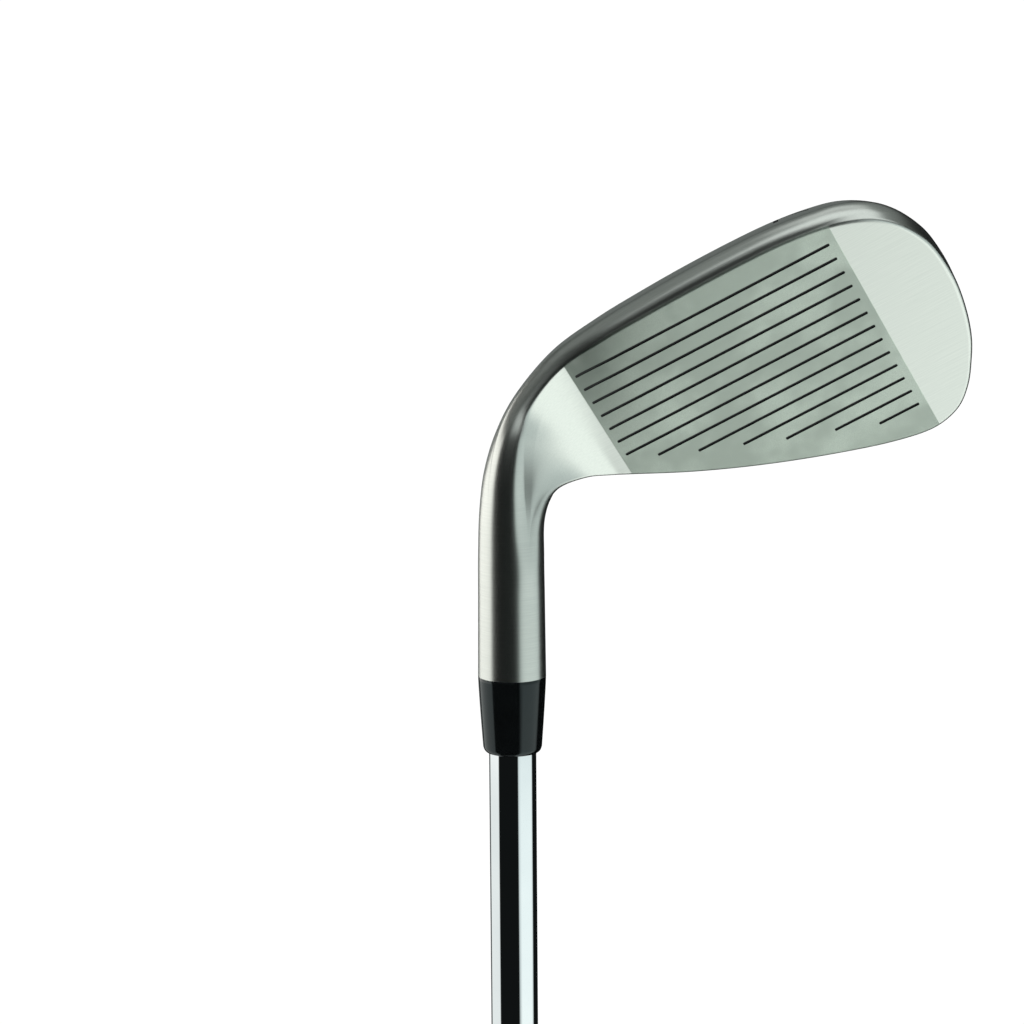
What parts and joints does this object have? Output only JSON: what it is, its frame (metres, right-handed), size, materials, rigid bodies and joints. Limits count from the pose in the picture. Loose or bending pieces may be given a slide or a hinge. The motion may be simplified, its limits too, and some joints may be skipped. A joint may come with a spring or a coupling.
{
  "type": "iron golf club",
  "caption": "Right-handed seven iron: cavity-back cast head with score lines, bent hosel, ferrule, stepped tube shaft and rubber grip with a vented cap.",
  "frame": {"origin": "middle of the flat end of the grip's cap, on the shaft's axis", "axes": "+Z along the shaft from the grip to the head, the face looks to -Y and the toe points to +X, so the head is up as when the club is stored in a bag"},
  "size_m": [0.1055, 0.0473, 0.9708],
  "materials": {
    "satin_steel": "satin brushed, blasted between the score lines",
    "black_paint": "matt fill",
    "tungsten": "turned, satin",
    "foam_tape": "matt foam",
    "damping_rubber": "matt elastomer",
    "badge_aluminium": "brushed and anodised",
    "epoxy": "cured resin",
    "brass": "turned",
    "black_plastic": "polished",
    "chrome": "mirror plated",
    "label_film": "printed film",
    "paper_tape": "matt",
    "grip_rubber": "matt moulded",
    "white_paint": "matt fill",
    "cap_rubber": "smooth moulded"
  },
  "bodies": {
    "root": {"head_body": "satin_steel", "score_line_paint": "black_paint", "sole_number_paint": "black_paint", "toe_weight": "tungsten", "badge_tape": "foam_tape", "badge_pad": "damping_rubber", "cavity_badge": "badge_aluminium", "hosel_epoxy": "epoxy", "tip_weight": "brass", "ferrule": "black_plastic", "shaft": "chrome", "shaft_band": "label_film", "grip_tape": "paper_tape", "grip_sleeve": "grip_rubber", "grip_marks": "white_paint", "grip_cap": "cap_rubber"}
  },
  "joints": []
}
